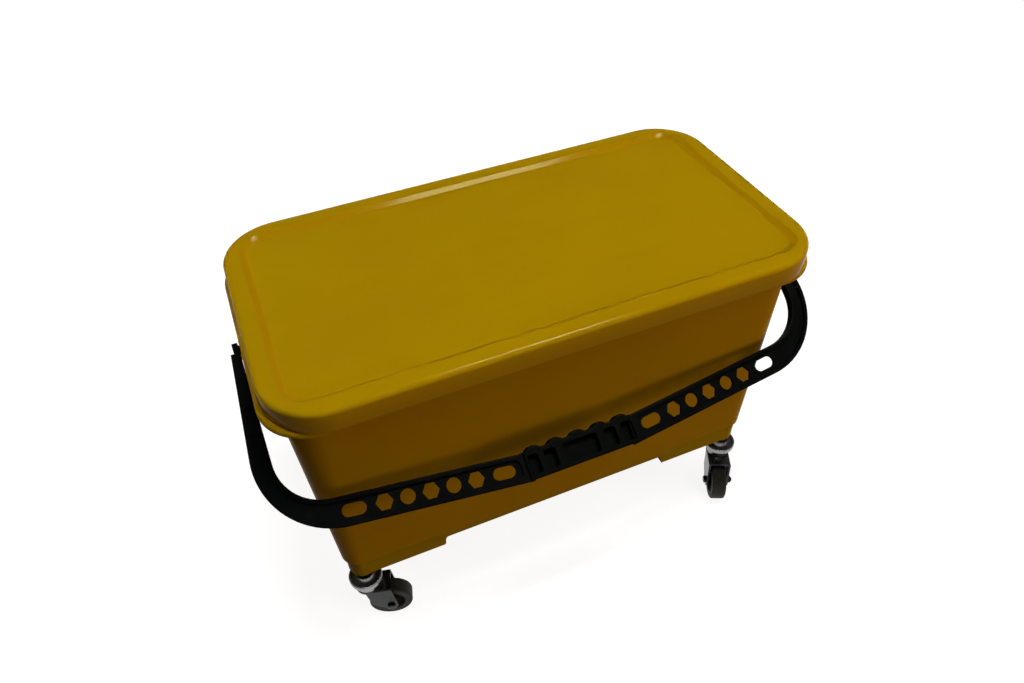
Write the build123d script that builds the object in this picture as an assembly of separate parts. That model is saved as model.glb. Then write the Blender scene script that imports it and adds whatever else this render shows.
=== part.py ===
from build123d import *
import os
from math import acos, cos, radians, sin, tan

# Millimetres. The origin is on the floor under the middle of the tub, +X along its length, +Z up.
# The long side at -Y is the front, where the bail handle rests.

# Lid
lid_end_overhang = 9.5
lid_side_overhang = 20.75
lid_corner_radius = 53.0
lid_skirt_height = 21.0
lid_wall = 2.5
lid_edge_radius = 8.0
lid_border = 16.5
lid_slope = 5.5
lid_recess_depth = 3.5
lid_recess_corner_radius = 24.0
lid_under_corner_radius = 34.0
lid_over_flange = 1.0

# Tub
tub_length = 481.0
tub_width = 223.0
tub_corner_radius = 30.0
tub_height = 242.0
tub_lean = 12.6
tub_wall = 2.6
tub_floor = 3.0
tub_bottom_radius = 3.0
tub_inside_radius = 12.0
flange_end_overhang = 14.0
flange_side_overhang = 15.5
flange_corner_radius = 45.0
flange_thickness = 3.0
flange_lip_height = 6.0
flange_lip_wall = 2.6
flange_edge_radius = 4.5
collar_wall = 3.0
collar_edge_radius = 2.5
collar_clearance = 3.0

# Feet
foot_length = 99.4
foot_width = 56.0
foot_drop = 15.8
foot_rise = 7.7
foot_shoulder = 3.0
foot_shoulder_run = 14.0
foot_inset = 3.0
foot_wall = 3.0
foot_corner_radius = 4.0
foot_edge_radius = 2.0
foot_end_radius = 5.0
foot_blend = 8.0
pillar_radius = 11.0
pillar_cap = 4.0

# Bail handle
pivot_drop = 9.9
pivot_boss_radius = 8.0
peg_radius = 4.0
peg_length = 13.0
peg_end_gap = 0.5
tab_radius = 6.5
tab_thickness = 4.5
arm_clearance = 1.5
arm_end_width = 7.5
arm_inner_splay = 2.2
arm_outer_splay = 18.3
arm_start = 3.0
arm_outer_bend = 70.0
arm_inner_bend = 42.0
bail_thickness = 9.0
grip_stand_off = 17.0
bail_reach = 188.8
bail_edge_radius = 1.2
bar_tilt = 6.2
bar_width = 26.2
bar_rim = 4.0
bar_recess_depth = 3.0
bar_recess_corner = 6.0
arm_recess_corner = 1.8
bar_recess_end = 50.0
hole_diameter = 13.4
hole_pitch = 20.1
hole_pattern = ("slot", "hexagon", "circle", "hexagon", "circle", "hexagon", "slot")
slot_length = 21.0
slot_width = 11.0
slot_pitch = 25.5
first_slot_x = 73.6
grip_length = 108.0
grip_thickness = 13.0
grip_step = 0.6
grip_edge_radius = 1.5
finger_count = 5
finger_pitch = 21.8
finger_radius = 9.0
finger_rise = 3.4
finger_blend = 4.0
finger_root = 27.0
pocket_depth = 8.0
pocket_height = 18.0
pocket_corner = 2.5
pocket_margin = 4.0
narrow_pocket_width = 11.6
narrow_pocket_places = (30.0, 46.6)
wide_pocket_width = 34.0
rest_near = 20.0
rest_far = 31.0
rest_thickness = 6.0
rest_reach = 6.0
rest_gap = 0.3
rest_edge_radius = 1.2

# Casters
caster_end_inset = 28.5
caster_side_inset = 25.5
caster_trail = 20.0
caster_headings = {
    "front_left": -15.0,
    "front_right": -115.0,
    "rear_left": 62.0,
    "rear_right": 35.0,
}
wheel_radius = 22.5
tyre_width = 16.0
tyre_edge_radius = 2.5
core_radius = 14.5
core_web_width = 12.0
core_hub_radius = 7.0
core_hub_width = 18.8
core_rim_width = 14.5
core_rim_wall = 2.2
bush_radius = 4.0
fork_inside = 20.4
fork_sheet = 2.2
fork_wheel_gap = 6.9
fork_tail = 23.3
fork_leg_front = 3.0
fork_eye_radius = 7.3
fork_bend_radius = 2.0
fork_front = 13.0
fork_elbow_x = 1.5
fork_elbow_height = 28.5
cup_radius = 17.0
cup_wall = 2.6
cup_height = 7.5
cup_bead_radius = 1.2
cup_under_radius = 2.5
cup_sheet = 1.6
neck_radius = 12.5
neck_height = 9.9
ball_radius = 1.75
ball_count = 12
ball_circle_radius = 11.5
ball_sink = 0.4
cone_thickness = 2.0
cone_gap = 0.6
stem_radius = 8.0
stem_flare_radius = 10.5
stem_flare_height = 5.0
stem_reveal = 12.5
spigot_radius = 4.8
socket_length = 32.0
spigot_end_gap = 2.4
pintle_radius = 4.0
pintle_head_radius = 6.0
pintle_head_height = 1.8
pintle_head_edge = 0.9
pintle_washer_radius = 8.0
pintle_washer_thickness = 1.5
socket_wall = 1.7
bolt_radius = 2.5
bolt_head_radius = 4.2
bolt_head_height = 2.8
bolt_head_dome = 1.5
bolt_tip = 1.6
nut_across_flats = 8.0
nut_thickness = 3.6

# Clearances
running_clearance = 0.06
seat_clearance = 0.05
race_clearance = 0.1
pick_tolerance = 0.01

# Heights above the floor
axle_height = wheel_radius
plate_bottom = 2 * wheel_radius + fork_wheel_gap
plate_top = plate_bottom + fork_sheet
cup_bottom = plate_top + neck_height
cup_floor = cup_bottom + cup_sheet
cup_top = cup_bottom + cup_height
ball_height = cup_floor + ball_radius - ball_sink
foot_bottom = cup_top + stem_reveal
tub_bottom = foot_bottom + foot_drop
crease_height = tub_bottom + foot_rise
floor_top = tub_bottom + tub_floor
flange_top = tub_bottom + tub_height
skirt_bottom = flange_top + lid_over_flange
lid_top = skirt_bottom + lid_skirt_height
collar_top = lid_top - lid_wall
pivot_height = flange_top - pivot_drop

# Lengths, widths and places on the plan
lid_length = tub_length + 2 * lid_end_overhang
lid_width = tub_width + 2 * lid_side_overhang
flange_length = tub_length + 2 * flange_end_overhang
flange_width = tub_width + 2 * flange_side_overhang
flange_end = flange_length / 2
arm_inner_x = flange_end + arm_clearance
grip_end = grip_length / 2
caster_x = tub_length / 2 - caster_end_inset
caster_y = tub_width / 2 - caster_side_inset

# The bail lies in a plane through the pivot axis: local x runs along the tub, local y away from the axis,
# local z towards the tub's wall. It rests where the finger bumps stand off from the tub's rim. The back plane
# is the same at the other side of the tub, with local y towards the axis.
finger_reach = bail_reach - finger_root - finger_rise
rest_turn = acos((tub_width / 2 + grip_stand_off) / finger_reach)
bail_plane = Plane(origin=(0, 0, pivot_height), x_dir=(1, 0, 0), z_dir=(0, sin(rest_turn), -cos(rest_turn)))
back_plane = Plane(origin=(0, 0, pivot_height), x_dir=(1, 0, 0), z_dir=(0, -sin(rest_turn), -cos(rest_turn)))


def rounded(length, width, radius, height):
    """A rounded rectangle, centred on the Z axis at this height."""
    return Pos(0, 0, height) * RectangleRounded(length, width, radius)


def tub_section(height, inset):
    """The tub's outline at this height, drawn in by inset from the outer wall."""
    draw_in = inset + tub_lean * (flange_top - height) / tub_height
    return rounded(tub_length - 2 * draw_in, tub_width - 2 * draw_in, tub_corner_radius - draw_in, height)


def at_place(shapes, axis, place):
    """Those of the edges or corners whose middle is at this place on the axis."""
    return shapes.filter_by_position(axis, place - pick_tolerance, place + pick_tolerance)


def level_edges(solid, height):
    """The solid's edges that lie flat at this height."""
    return at_place(solid.edges(), Axis.Z, height)


def cylinder_up(radius, low, high):
    """A cylinder on the Z axis between two heights."""
    return Pos(0, 0, low) * Cylinder(radius, high - low, align=(Align.CENTER, Align.CENTER, Align.MIN))


def cylinder_across(radius, low, high):
    """A cylinder along local Y between two places."""
    return Rot(-90, 0, 0) * cylinder_up(radius, low, high)


def hexagon(across_flats):
    """A regular hexagon of this size across its flats."""
    return RegularPolygon(across_flats / 2, side_count=6, major_radius=False)


def four_corners(solid):
    """A solid of the +X +Y corner and its three mirror images."""
    pair = [solid, mirror(solid, Plane.YZ)]
    return pair + [mirror(one, Plane.XZ) for one in pair]


def collar_outline(inset, height):
    """The collar's outline, drawn in by inset from its outer face, under the lid's skirt."""
    draw_in = lid_wall + collar_clearance + inset
    return rounded(lid_length - 2 * draw_in, lid_width - 2 * draw_in, lid_corner_radius - draw_in, height)


def flange():
    """The rim flange: a plate with a turned-down lip."""
    low = flange_top - flange_lip_height
    block = extrude(rounded(flange_length, flange_width, flange_corner_radius, low), flange_lip_height)
    block = fillet(level_edges(block, flange_top), flange_edge_radius)
    trough = rounded(
        flange_length - 2 * flange_lip_wall,
        flange_width - 2 * flange_lip_wall,
        flange_corner_radius - flange_lip_wall,
        low,
    )
    return block - extrude(trough, flange_lip_height - flange_thickness)


def foot_outline(extra):
    """The plan of the +X +Y foot, drawn in from the tub's wall, its inner ends moved in by extra."""
    outline = tub_section(crease_height, foot_inset)
    outer_x = outline.bounding_box().max.X
    outer_y = outline.bounding_box().max.Y
    length = foot_length + extra
    width = foot_width + extra
    window = Pos(outer_x - length / 2, outer_y - width / 2, crease_height)
    plan = outline & (window * Rectangle(length, width))
    low_x = outer_x - length + pick_tolerance
    low_y = outer_y - width + pick_tolerance
    sharp = [v for v in plan.vertices() if v.X < low_x or v.Y < low_y]
    return Pos(0, 0, -crease_height) * fillet(sharp, foot_corner_radius)


def foot_profile(inner, outer):
    """The side view of a foot: it blends into the tub's bottom inside and runs past the wall outside."""
    end = (inner, foot_bottom)
    blend = (inner, tub_bottom)
    face = make_face(
        Polyline(
            (inner - foot_blend, crease_height),
            (inner - foot_blend, tub_bottom),
            blend,
            end,
            (outer, foot_bottom),
            (outer, crease_height),
            close=True,
        )
    )
    face = fillet(face.vertices().sort_by_distance((*blend, 0))[0], foot_blend - pick_tolerance)
    return fillet(face.vertices().sort_by_distance((*end, 0))[0], foot_end_radius)


def foot_relief(plan):
    """What is cut from the tub's wall, so that the foot's face stands back under a shoulder that runs out."""
    top = crease_height + foot_shoulder
    face = plan.bounding_box()
    reach = foot_inset + tub_lean
    run_out = foot_shoulder_run * reach / foot_inset
    inner_x = face.min.X + foot_shoulder_run
    inner_y = face.min.Y + foot_shoulder_run
    zone = make_face(
        Polyline(
            (inner_x, inner_y),
            (inner_x, face.max.Y),
            (inner_x - run_out, face.max.Y + reach),
            (face.max.X + reach, face.max.Y + reach),
            (face.max.X + reach, inner_y - run_out),
            (face.max.X, inner_y),
            close=True,
        )
    )
    low_section = Pos(0, 0, foot_bottom - crease_height) * tub_section(crease_height, foot_inset)
    kept = loft([low_section, tub_section(crease_height, foot_inset), tub_section(top, 0)], ruled=True)
    return extrude(Pos(0, 0, foot_bottom) * zone, top - foot_bottom) - kept


def foot(plan):
    """One foot: a downward-open box under the tub's floor."""
    block = extrude(Pos(0, 0, foot_bottom) * foot_outline(foot_blend), crease_height - foot_bottom)
    block = fillet(level_edges(block, foot_bottom), foot_edge_radius)
    size = plan.bounding_box()
    long_view = Rot(90, 0, 0) * extrude(foot_profile(size.min.X, tub_length), tub_width, both=True)
    end_view = extrude(foot_profile(size.min.Y, tub_length), tub_length, both=True)
    end_view = Rot(0, 0, 90) * Rot(90, 0, 0) * end_view
    hollow = offset(plan, amount=-foot_wall, kind=Kind.INTERSECTION)
    return (block & long_view & end_view) - extrude(Pos(0, 0, foot_bottom) * hollow, foot_drop)


def on_pivot(solid):
    """Turns a solid of revolution about Z to lie along X on the bail's pivot axis."""
    return Pos(0, 0, pivot_height) * Rot(0, 90, 0) * solid


def pivot_bosses():
    """The pivot bosses of both ends, as one rod that the tub's cavity then divides."""
    return on_pivot(cylinder_up(pivot_boss_radius, -flange_end, flange_end))


def handle_rests():
    """The lugs that the bail lies on, front and back, as two bars that the cavity then divides."""
    length = 2 * (arm_inner_x + rest_reach)
    bar = Box(length, rest_far - rest_near, rest_thickness, align=(Align.CENTER, Align.CENTER, Align.MIN))
    bar = fillet(bar.edges(), rest_edge_radius)
    middle = (rest_near + rest_far) / 2
    height = bail_thickness / 2 + rest_gap
    return bail_plane * Pos(0, middle, height) * bar, back_plane * Pos(0, -middle, height) * bar


def make_tub():
    """The tub: a tapered shell with rim, feet, caster pillars, pivot bosses and handle rests."""
    body = loft([tub_section(tub_bottom, 0), tub_section(flange_top, 0)], ruled=True)
    body = fillet(level_edges(body, tub_bottom), tub_bottom_radius)
    cavity = loft([tub_section(floor_top, tub_wall), tub_section(flange_top, tub_wall)], ruled=True)
    cavity = fillet(level_edges(cavity, floor_top), tub_inside_radius)
    collar = extrude(collar_outline(0, flange_top), collar_top - flange_top)
    collar = fillet(level_edges(collar, collar_top), collar_edge_radius)
    collar -= extrude(collar_outline(collar_wall, flange_top), collar_top - flange_top)

    plan = foot_outline(0)
    relief = foot_relief(plan)
    for corner in four_corners(relief):
        body -= corner
    shell = body + flange() + collar
    for corner in four_corners(foot(plan)):
        shell += corner
    for ends in (pivot_bosses(), *handle_rests()):
        shell += ends
    shell -= cavity

    stem_place = Pos(caster_x, caster_y, 0)
    socket_top = foot_bottom + socket_length
    pillar = stem_place * cylinder_up(pillar_radius, foot_bottom, socket_top + pillar_cap)
    low_outline = Pos(0, 0, foot_bottom) * plan
    pillar &= extrude(low_outline, foot_drop) + loft(
        [tub_section(tub_bottom, tub_wall / 2), tub_section(flange_top, tub_wall / 2)], ruled=True
    )
    bore_radius = spigot_radius + socket_wall + 2 * seat_clearance
    bore = stem_place * cylinder_up(bore_radius, foot_bottom, socket_top)
    for corner in four_corners(pillar):
        shell += corner
    for corner in four_corners(bore):
        shell -= corner

    hole_depth = peg_length - arm_clearance + peg_end_gap
    hole_radius = peg_radius + running_clearance
    shell -= on_pivot(cylinder_up(hole_radius, flange_end - hole_depth, flange_end))
    shell -= on_pivot(cylinder_up(hole_radius, -flange_end, hole_depth - flange_end))
    return shell


def lid_recess(height, border, corner):
    """The dish of the recessed panel, its rim at this height inside a border, with sloping sides."""
    low_border = border + lid_slope
    low_height = height - lid_recess_depth
    high = rounded(lid_length - 2 * border, lid_width - 2 * border, corner, height)
    low = rounded(lid_length - 2 * low_border, lid_width - 2 * low_border, corner - lid_slope, low_height)
    return loft([low, high], ruled=True)


def make_lid():
    """The lid: a thin shell with a skirt, a rounded border and a recessed panel."""
    outside = extrude(rounded(lid_length, lid_width, lid_corner_radius, skirt_bottom), lid_skirt_height)
    outside = fillet(level_edges(outside, lid_top), lid_edge_radius)
    inner_length = lid_length - 2 * lid_wall
    inner_width = lid_width - 2 * lid_wall
    inner_outline = rounded(inner_length, inner_width, lid_corner_radius - lid_wall, skirt_bottom)
    inside = extrude(inner_outline, lid_skirt_height - lid_wall)
    inside = fillet(level_edges(inside, collar_top), lid_edge_radius - lid_wall)
    dish = lid_recess(lid_top, lid_border, lid_recess_corner_radius)
    dish_under = lid_recess(lid_top - lid_wall, lid_border - lid_wall, lid_under_corner_radius)
    return outside - (inside - dish_under) - dish


def bar_line(x, across):
    """Local y of a line along the right-hand bar, across from its outer edge, at this local x."""
    slope = tan(radians(bar_tilt))
    return bail_reach - across / cos(radians(bar_tilt)) - (x - grip_end) * slope


def bar_outline():
    """The outline of the right-hand bar and arm."""
    start = grip_end - bar_rim
    inner_corner_x = arm_inner_x + arm_inner_splay
    outer_corner_x = arm_inner_x + arm_end_width + arm_outer_splay
    inner_corner = (inner_corner_x, bar_line(inner_corner_x, bar_width))
    outer_corner = (outer_corner_x, bar_line(outer_corner_x, 0))
    points = [
        (start, bar_line(start, bar_width)),
        inner_corner,
        (arm_inner_x, arm_start),
        (arm_inner_x + arm_end_width, arm_start),
        outer_corner,
        (start, bar_line(start, 0)),
    ]
    face = make_face(Polyline(*points, close=True))
    face = fillet(face.vertices().sort_by_distance((*inner_corner, 0))[0], arm_inner_bend)
    return fillet(face.vertices().sort_by_distance((*outer_corner, 0))[0], arm_outer_bend)


def hole_shape(kind):
    """One hole of the bar, centred, its length along local x."""
    if kind == "slot":
        return SlotOverall(slot_length, slot_width)
    if kind == "hexagon":
        return hexagon(hole_diameter)
    return Circle(hole_diameter / 2)


def bar_holes():
    """The row of holes along the right-hand bar."""
    x = first_slot_x
    row = []
    for index, kind in enumerate(hole_pattern):
        row.append(Pos(x, bar_line(x, bar_width / 2)) * Rot(0, 0, -bar_tilt) * hole_shape(kind))
        next_kind = hole_pattern[index + 1] if index + 1 < len(hole_pattern) else kind
        x += slot_pitch if "slot" in (kind, next_kind) else hole_pitch
    return row


def make_bar():
    """The right-hand bar and arm: an open channel on both faces, pierced along the bar."""
    outline = bar_outline()
    bar = extrude(outline, bail_thickness / 2, both=True)
    sharp = [e for z in (-1, 1) for e in level_edges(bar, z * bail_thickness / 2)]
    bar = fillet(sharp, bail_edge_radius)
    recess = offset(outline, amount=-bar_rim, kind=Kind.INTERSECTION)
    box = outline.bounding_box()
    recess_start = grip_end + bar_rim
    window = Rectangle(box.max.X - recess_start, box.max.Y - bar_recess_end, align=(Align.MIN, Align.MIN))
    recess &= Pos(recess_start, bar_recess_end) * window
    recess = fillet(at_place(recess.vertices(), Axis.X, recess_start), bar_recess_corner)
    recess = fillet(at_place(recess.vertices(), Axis.Y, bar_recess_end), arm_recess_corner)
    web = bail_thickness / 2 - bar_recess_depth
    for side in (1, -1):
        bar -= extrude(Pos(0, 0, side * web) * recess, side * bar_recess_depth)
    for hole in bar_holes():
        bar -= extrude(hole, bail_thickness, both=True)
    return bar


def grip_outline():
    """The outline of the grip: a straight outer edge and finger bumps on the inner edge."""
    outer = bail_reach - grip_step
    root = bail_reach - finger_root
    face = Pos(0, (outer + root) / 2) * Rectangle(grip_length, outer - root)
    first_x = -finger_pitch * (finger_count - 1) / 2
    finger_y = root - finger_rise + finger_radius
    for index in range(finger_count):
        face += Pos(first_x + index * finger_pitch, finger_y) * Circle(finger_radius)
    foot_line = at_place(face.vertices(), Axis.Y, root)
    valleys = [v for v in foot_line if abs(v.X) < grip_end - pick_tolerance]
    return fillet(valleys, finger_blend)


def make_grip():
    """The grip: a thicker block with pockets in its front face."""
    grip = extrude(grip_outline(), grip_thickness / 2, both=True)
    sharp = [e for z in (-1, 1) for e in level_edges(grip, z * grip_thickness / 2)]
    grip = fillet(sharp, grip_edge_radius)
    places = [(0, wide_pocket_width)]
    for place in narrow_pocket_places:
        places += [(place, narrow_pocket_width), (-place, narrow_pocket_width)]
    pocket_middle = bail_reach - grip_step - pocket_margin - pocket_height / 2
    for place, width in places:
        pocket = RectangleRounded(width, pocket_height, pocket_corner)
        grip -= Pos(place, pocket_middle, -grip_thickness / 2) * extrude(pocket, pocket_depth)
    return grip


def make_handle():
    """The bail handle: grip, two bars with arms, and a tab with a pivot peg at each end."""
    tab = Pos(arm_inner_x, 0, 0) * Rot(0, 90, 0) * cylinder_up(tab_radius, 0, tab_thickness)
    peg = Pos(arm_inner_x - peg_length, 0, 0) * Rot(0, 90, 0) * cylinder_up(peg_radius, 0, peg_length)
    side = make_bar() + tab + peg
    bail = make_grip() + side + mirror(side, Plane.YZ)
    return bail_plane * bail


def make_socket():
    """The sleeve in a foot's pillar that takes the stem's spigot."""
    outer = spigot_radius + socket_wall + seat_clearance
    sleeve = cylinder_up(outer, foot_bottom, foot_bottom + socket_length)
    return sleeve - cylinder_up(spigot_radius + seat_clearance, foot_bottom, foot_bottom + socket_length)


def cone_levels():
    """The bottom and top of the bearing cone."""
    bottom = ball_height + ball_radius - ball_sink
    return bottom, bottom + cone_thickness


def make_stem():
    """The plated stem: spigot, shank with a flared foot, pintle and riveted head."""
    cone_top = cone_levels()[1]
    head_top = plate_bottom - race_clearance - pintle_washer_thickness
    shank = cylinder_up(stem_radius, cone_top, foot_bottom)
    flare = Pos(0, 0, cone_top) * Cone(
        stem_flare_radius, stem_radius, stem_flare_height, align=(Align.CENTER, Align.CENTER, Align.MIN)
    )
    spigot = cylinder_up(spigot_radius, foot_bottom, foot_bottom + socket_length - spigot_end_gap)
    pintle = cylinder_up(pintle_radius, head_top, cone_top)
    head = cylinder_up(pintle_head_radius, head_top - pintle_head_height, head_top)
    head = fillet(level_edges(head, head_top - pintle_head_height), pintle_head_edge)
    return shank + flare + spigot + pintle + head


def ball_groove():
    """The ring-shaped groove that the balls run in."""
    return Pos(0, 0, ball_height) * Torus(ball_circle_radius, ball_radius + race_clearance)


def make_cone():
    """The bearing cone: the upper race, a washer under the stem's flare."""
    bottom, top = cone_levels()
    radius = cup_radius - cup_wall - cone_gap
    ring = cylinder_up(radius, bottom, top) - cylinder_up(pintle_radius + seat_clearance, bottom, top)
    return ring - ball_groove()


def make_balls():
    """The ring of bearing balls."""
    places = PolarLocations(ball_circle_radius, ball_count)
    return Compound([Pos(0, 0, ball_height) * place * Sphere(ball_radius).solid() for place in places])


def make_fork():
    """The pressed fork: a top plate and two legs with axle eyes."""
    half_outside = fork_inside / 2 + fork_sheet
    tail = Rectangle(fork_tail, 2 * half_outside, align=(Align.MIN, Align.CENTER))
    plate = extrude(Pos(0, 0, plate_bottom) * (Circle(fork_front) + tail), fork_sheet)
    eye_place = Pos(caster_trail, axle_height)
    eye = eye_place * Circle(fork_eye_radius)
    top_edge = [(-fork_leg_front, plate_top), (fork_tail, plate_top)]
    elbow = (fork_elbow_x, fork_elbow_height)
    blade = make_hull([*Polyline(*top_edge, elbow, close=True).edges(), *eye.edges()])
    blade -= eye_place * Circle(bolt_radius + seat_clearance)
    leg = Rot(90, 0, 0) * extrude(blade, fork_sheet)
    fork = plate + Pos(0, half_outside, 0) * leg + Pos(0, -fork_inside / 2, 0) * leg
    bends = [
        e
        for e in level_edges(fork, plate_top).filter_by(Axis.X)
        if abs(abs(e.center().Y) - half_outside) < pick_tolerance
    ]
    fork = fillet(bends, fork_bend_radius)
    return fork - cylinder_up(pintle_radius + running_clearance, plate_bottom, plate_top)


def make_cup():
    """The bearing cup: an open dish with a rolled rim, on a hollow neck that stands on the fork's plate."""
    ring = cylinder_up(cup_radius, cup_bottom, cup_top)
    ring = fillet(level_edges(ring, cup_bottom), cup_under_radius)
    ring -= cylinder_up(cup_radius - cup_wall, cup_floor, cup_top)
    ring = fillet(level_edges(ring, cup_top), cup_bead_radius)
    neck = cylinder_up(neck_radius, plate_top, cup_floor - cup_sheet / 2)
    neck -= cylinder_up(neck_radius - cup_sheet, plate_top, cup_bottom)
    cup = ring + neck - cylinder_up(pintle_radius + running_clearance, plate_top, cup_top)
    return cup - ball_groove()


def make_pintle_washer():
    """The washer between the fork's plate and the pintle's riveted head."""
    top = plate_bottom - race_clearance
    bottom = top - pintle_washer_thickness
    disc = cylinder_up(pintle_washer_radius, bottom, top)
    return disc - cylinder_up(pintle_radius + seat_clearance, bottom, top)


def on_axle(solid):
    """Moves a solid of revolution about local Y to the wheel's axle."""
    return Pos(caster_trail, 0, axle_height) * solid


def make_bolt():
    """The axle bolt: round head, shank and a free tip past the nut."""
    face = fork_inside / 2 + fork_sheet
    head = cylinder_across(bolt_head_radius, -face - bolt_head_height, -face)
    head = fillet(at_place(head.edges(), Axis.Y, -face - bolt_head_height), bolt_head_dome)
    return on_axle(head + cylinder_across(bolt_radius, -face, face + nut_thickness + bolt_tip))


def make_nut():
    """The axle nut, tight against the fork."""
    face = fork_inside / 2 + fork_sheet
    ring = hexagon(nut_across_flats) - Circle(bolt_radius + seat_clearance)
    return on_axle(Pos(0, face, 0) * Rot(-90, 0, 0) * extrude(ring, nut_thickness))


def make_bush():
    """The tube on the bolt that the wheel turns on, held between the fork's legs."""
    tube = cylinder_across(bush_radius, -fork_inside / 2, fork_inside / 2)
    return on_axle(tube - cylinder_across(bolt_radius + seat_clearance, -fork_inside / 2, fork_inside / 2))


def make_core():
    """The wheel's core: hub, web and rim."""
    hub = cylinder_across(core_hub_radius, -core_hub_width / 2, core_hub_width / 2)
    web = cylinder_across(core_radius, -core_web_width / 2, core_web_width / 2)
    rim = cylinder_across(core_radius, -core_rim_width / 2, core_rim_width / 2)
    rim -= cylinder_across(core_radius - core_rim_wall, -core_rim_width / 2, core_rim_width / 2)
    bore = cylinder_across(bush_radius + running_clearance, -core_hub_width, core_hub_width)
    return on_axle(hub + web + rim - bore)


def make_tyre():
    """The rubber tyre on the core's rim."""
    ring = cylinder_across(wheel_radius, -tyre_width / 2, tyre_width / 2)
    ring = fillet(ring.edges().filter_by(GeomType.CIRCLE), tyre_edge_radius)
    return on_axle(ring - cylinder_across(core_radius + seat_clearance, -tyre_width, tyre_width))


caster_pieces = {
    "stem_socket": make_socket,
    "stem": make_stem,
    "bearing_cup": make_cup,
    "bearing_cone": make_cone,
    "bearing_balls": make_balls,
    "fork": make_fork,
    "pintle_washer": make_pintle_washer,
    "axle_bolt": make_bolt,
    "axle_nut": make_nut,
    "axle_bush": make_bush,
    "wheel_core": make_core,
    "tyre": make_tyre,
}


def caster_place(corner):
    """Where a corner's caster stands and which way its wheel trails."""
    x = caster_x if corner.endswith("right") else -caster_x
    y = caster_y if corner.startswith("rear") else -caster_y
    return Pos(x, y, 0) * Rot(0, 0, caster_headings[corner])


os.makedirs("parts", exist_ok=True)
export_step(make_tub(), "parts/tub.step")
export_step(make_lid(), "parts/lid.step")
export_step(make_handle(), "parts/handle.step")
for piece_name, make_piece in caster_pieces.items():
    piece = make_piece()
    for corner in caster_headings:
        export_step(caster_place(corner) * piece, f"parts/{corner}_{piece_name}.step")
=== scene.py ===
"""Looks of an oblong yellow bucket with a lid, a black bail handle and four swivel casters.

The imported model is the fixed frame: it gives every size and place, in metres, +Z up, with the front at -Y.
The lid is modelled again here, with a tighter edge and finely rounded creases. The tub, the handle and the
casters are the frame's own meshes with softened edges. Every finish is a node material.
"""

import logging
from dataclasses import dataclass
from enum import Enum
from math import radians

import bmesh
import bpy
from mathutils import Euler, Matrix, Vector


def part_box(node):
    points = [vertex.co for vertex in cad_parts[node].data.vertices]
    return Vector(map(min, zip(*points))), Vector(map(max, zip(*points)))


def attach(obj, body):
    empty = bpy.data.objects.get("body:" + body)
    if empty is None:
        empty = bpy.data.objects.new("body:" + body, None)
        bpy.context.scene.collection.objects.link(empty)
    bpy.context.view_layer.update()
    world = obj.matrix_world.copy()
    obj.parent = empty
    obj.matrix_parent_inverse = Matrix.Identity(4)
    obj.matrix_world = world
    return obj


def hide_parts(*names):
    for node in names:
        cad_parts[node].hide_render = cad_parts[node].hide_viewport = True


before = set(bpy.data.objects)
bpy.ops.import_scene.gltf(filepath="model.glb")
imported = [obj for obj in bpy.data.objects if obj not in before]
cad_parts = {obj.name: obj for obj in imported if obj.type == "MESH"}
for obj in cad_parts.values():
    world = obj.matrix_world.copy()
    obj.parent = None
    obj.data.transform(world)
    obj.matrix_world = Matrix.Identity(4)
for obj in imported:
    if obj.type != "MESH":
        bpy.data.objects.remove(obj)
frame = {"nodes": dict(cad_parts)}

log = logging.getLogger("bucket")

Colour = tuple[float, float, float]
Triple = tuple[float, float, float]
Span = tuple[float, float]
Operand = "Value | float"

WHITE: Colour = (1.0, 1.0, 1.0)
UNSTRETCHED: Triple = (1.0, 1.0, 1.0)
NOISE_MIDDLE = 0.5
FLAT_FACE_WEIGHT = 60


class Slot(Enum):
    """The record's material slots."""

    TUB = "tub_plastic"
    LID = "lid_plastic"
    HANDLE = "handle_plastic"
    ZINC = "zinc_steel"
    BEARING = "bearing_steel"
    CORE = "core_plastic"
    TYRE = "tyre_rubber"


class Corner(Enum):
    """The corners of the tub that a caster stands under."""

    FRONT_LEFT = "front_left"
    FRONT_RIGHT = "front_right"
    REAR_LEFT = "rear_left"
    REAR_RIGHT = "rear_right"


class Reach(Enum):
    """What a lamp acts on: the colour of surfaces, or their reflections."""

    COLOUR = "colour"
    SHINE = "shine"


class Lit(Enum):
    """Which pieces a lamp lights."""

    ALL = "all"
    PLASTICS = "plastics"
    CUPS = "cups"


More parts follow.
